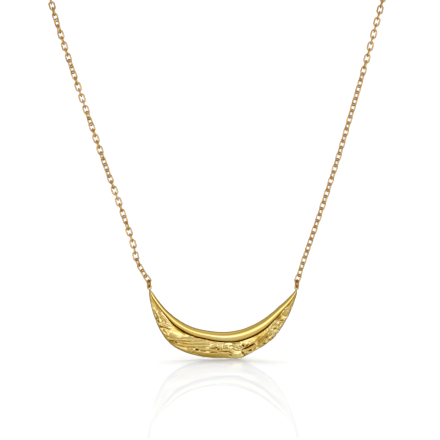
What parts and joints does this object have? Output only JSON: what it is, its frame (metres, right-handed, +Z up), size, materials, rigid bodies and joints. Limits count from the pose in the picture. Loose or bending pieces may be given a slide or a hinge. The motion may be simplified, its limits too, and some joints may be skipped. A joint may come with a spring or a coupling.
{
  "type": "leaf pendant necklace",
  "caption": "Crescent leaf pendant, cast with a smooth rim over a bark-like blade, swinging from two jump rings on a fine cable chain closed by a round clasp.",
  "frame": {"origin": "the nape: the middle of the back of the loop, where the clasp lies behind the neck", "axes": "+Z up, the pendant hangs low in front of the nape and faces -Y, +X is the right of someone who looks at the pendant"},
  "size_m": [0.0921, 0.0826, 0.1338],
  "materials": {
    "pendant_gold": "yellow gold plate: polished rim, bright cast texture on the leaf",
    "chain_gold": "polished gold plate, slightly redder than the pendant"
  },
  "bodies": {
    "chain": {"chain_left": "chain_gold", "chain_right": "chain_gold", "clasp": "chain_gold", "clasp_ring": "chain_gold"},
    "pendant": {"pendant": "pendant_gold", "tip_ring_left": "chain_gold", "tip_ring_right": "chain_gold"}
  },
  "joints": [
    {"name": "pendant_swing", "type": "hinge", "parent": "chain", "child": "pendant", "pos_m": [0, -0.08, -0.1128], "axis": [1, 0, 0], "range_deg": [-25, 25]}
  ]
}
